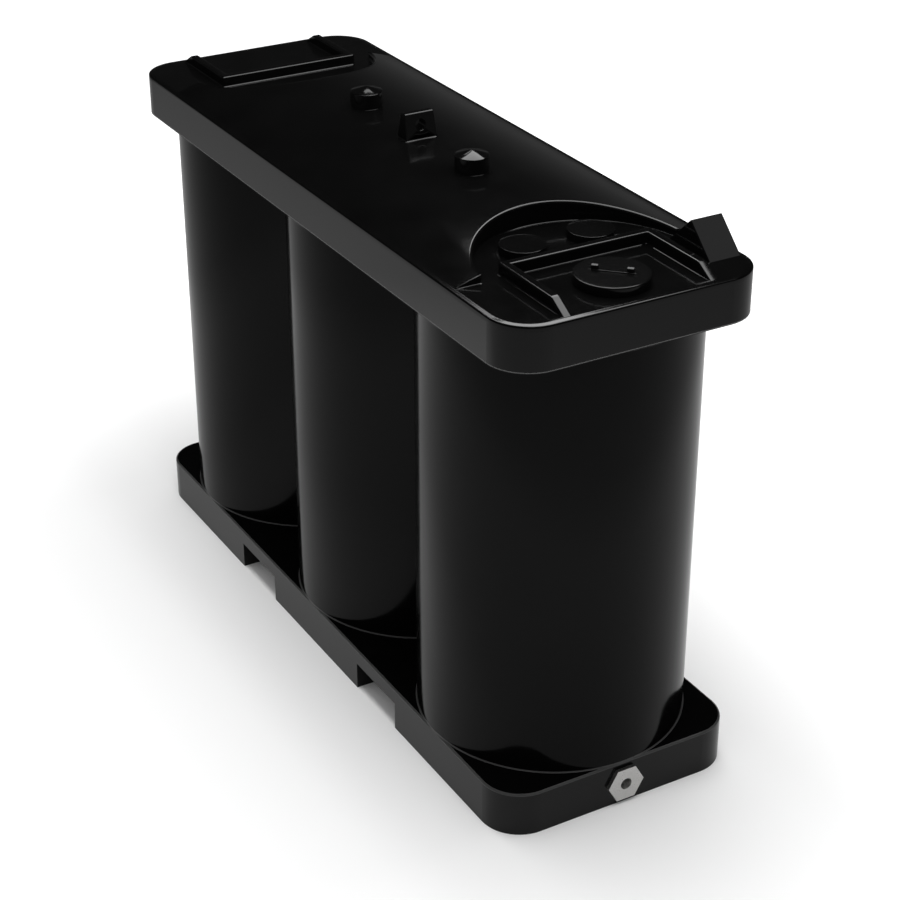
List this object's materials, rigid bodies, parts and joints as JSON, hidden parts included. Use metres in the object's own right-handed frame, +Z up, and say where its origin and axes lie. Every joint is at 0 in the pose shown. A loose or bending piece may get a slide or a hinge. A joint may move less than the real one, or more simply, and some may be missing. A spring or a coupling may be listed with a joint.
{
  "type": "slimline water tank",
  "caption": "Slim upright water tank of round lobes between a hollow base with forklift pockets and a crowned deck with a filler cap, lifting lug and upstand frames.",
  "frame": {"origin": "on the ground, at the middle of the base's underside", "axes": "+X along the tank towards the filler and outlet end, +Y across it towards the edge with the wedge block, +Z up"},
  "size_m": [1.98, 0.66, 1.426],
  "materials": {
    "tank_plastic": "glossy black rotomoulded polyethylene",
    "cap_plastic": "satin black moulded polyethylene",
    "outlet_steel": "satin machined steel"
  },
  "bodies": {
    "tank": {"base_top": "tank_plastic", "base_side_band": "tank_plastic", "deck_underside": "tank_plastic", "deck_side_band": "tank_plastic", "deck_roof": "tank_plastic", "filler_neck": "tank_plastic", "wedge_block": "tank_plastic", "lifting_lug": "tank_plastic", "near_lobe_wall": "tank_plastic", "near_foot_pan": "tank_plastic", "middle_lobe_wall": "tank_plastic", "middle_foot_pan": "tank_plastic", "far_lobe_wall": "tank_plastic", "far_foot_pan": "tank_plastic", "near_forklift_channel": "tank_plastic", "near_frame_bar": "tank_plastic", "near_frame_left_arm": "tank_plastic", "near_frame_right_arm": "tank_plastic", "far_forklift_channel": "tank_plastic", "far_frame_bar": "tank_plastic", "far_frame_left_arm": "tank_plastic", "far_frame_right_arm": "tank_plastic", "outlet_bush": "outlet_steel"},
    "cap": {"filler_cap": "cap_plastic", "cap_grip": "cap_plastic"}
  },
  "joints": [
    {"name": "cap_lift", "type": "slide", "parent": "tank", "child": "cap", "axis": [0, 0, 1], "range_m": [0, 0.15]}
  ]
}
